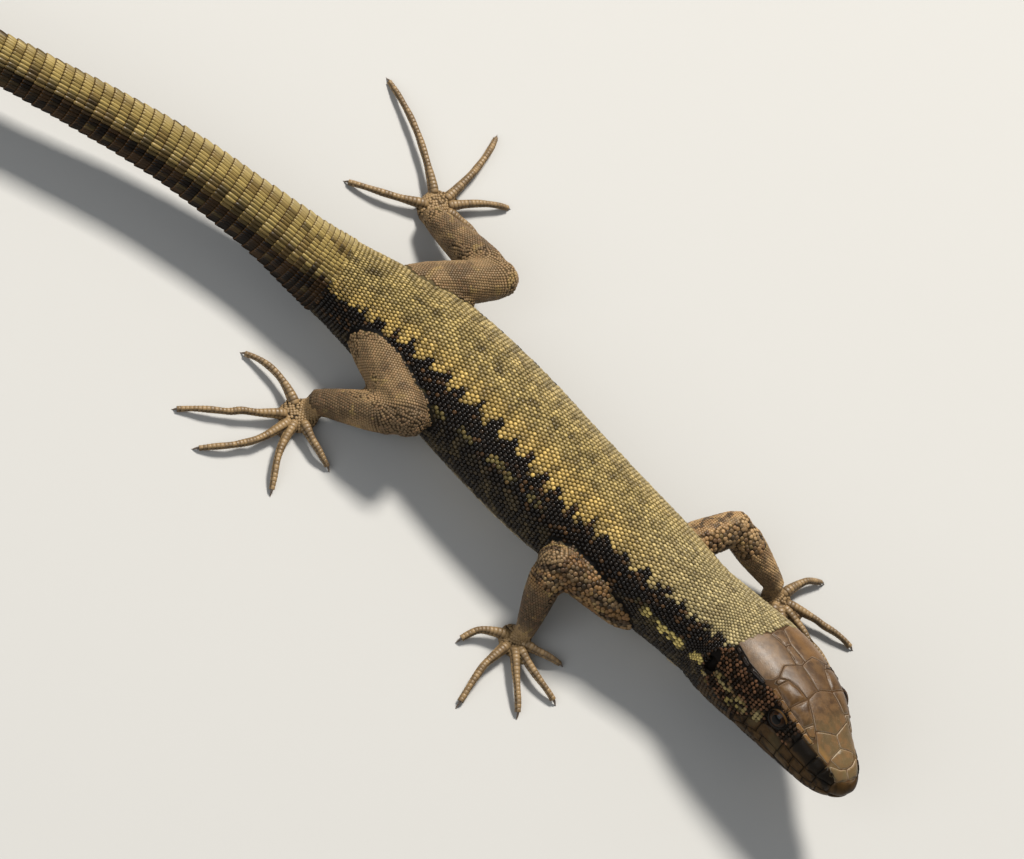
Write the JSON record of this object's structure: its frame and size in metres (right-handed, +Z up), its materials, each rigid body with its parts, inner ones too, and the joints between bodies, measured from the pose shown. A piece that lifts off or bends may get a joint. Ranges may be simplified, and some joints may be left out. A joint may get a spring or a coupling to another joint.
{
  "type": "wall lizard",
  "caption": "Life-size still model of a common wall lizard lying flat with its forebody raised, legs spread, head turned and a long tapering tail.",
  "frame": {"origin": "on the floor, under the middle of the whole lizard's box", "axes": "+X from the tail towards the head, +Y to the lizard's left, +Z up"},
  "size_m": [0.1826, 0.0506, 0.0118],
  "materials": {
    "back_scales": "fine granular scales, satin",
    "tail_scales": "keeled scales in rings, satin",
    "head_shields": "smooth horny shields, low gloss",
    "throat_scales": "fine scales, satin",
    "leg_scales": "fine granular scales, satin",
    "toe_scutes": "ringed scutes, satin",
    "eye": "wet, glossy"
  },
  "bodies": {
    "root": {"head": "head_shields", "lower_jaw": "throat_scales", "eye_right": "eye", "eye_left": "eye", "neck": "back_scales", "trunk": "back_scales", "tail_1": "tail_scales", "tail_2": "tail_scales", "tail_3": "tail_scales", "tail_4": "tail_scales", "tail_5": "tail_scales", "front_right_upper": "leg_scales", "front_right_lower": "leg_scales", "front_right_foot": "toe_scutes", "front_right_toe_1": "toe_scutes", "front_right_toe_2": "toe_scutes", "front_right_toe_3": "toe_scutes", "front_right_toe_4": "toe_scutes", "front_right_toe_5": "toe_scutes", "front_left_upper": "leg_scales", "front_left_lower": "leg_scales", "front_left_foot": "toe_scutes", "front_left_toe_1": "toe_scutes", "front_left_toe_2": "toe_scutes", "front_left_toe_3": "toe_scutes", "front_left_toe_4": "toe_scutes", "front_left_toe_5": "toe_scutes", "hind_right_upper": "leg_scales", "hind_right_lower": "leg_scales", "hind_right_foot": "toe_scutes", "hind_right_toe_1": "toe_scutes", "hind_right_toe_2": "toe_scutes", "hind_right_toe_3": "toe_scutes", "hind_right_toe_4": "toe_scutes", "hind_right_toe_5": "toe_scutes", "hind_left_upper": "leg_scales", "hind_left_lower": "leg_scales", "hind_left_foot": "toe_scutes", "hind_left_toe_1": "toe_scutes", "hind_left_toe_2": "toe_scutes", "hind_left_toe_3": "toe_scutes", "hind_left_toe_4": "toe_scutes", "hind_left_toe_5": "toe_scutes"}
  },
  "joints": []
}
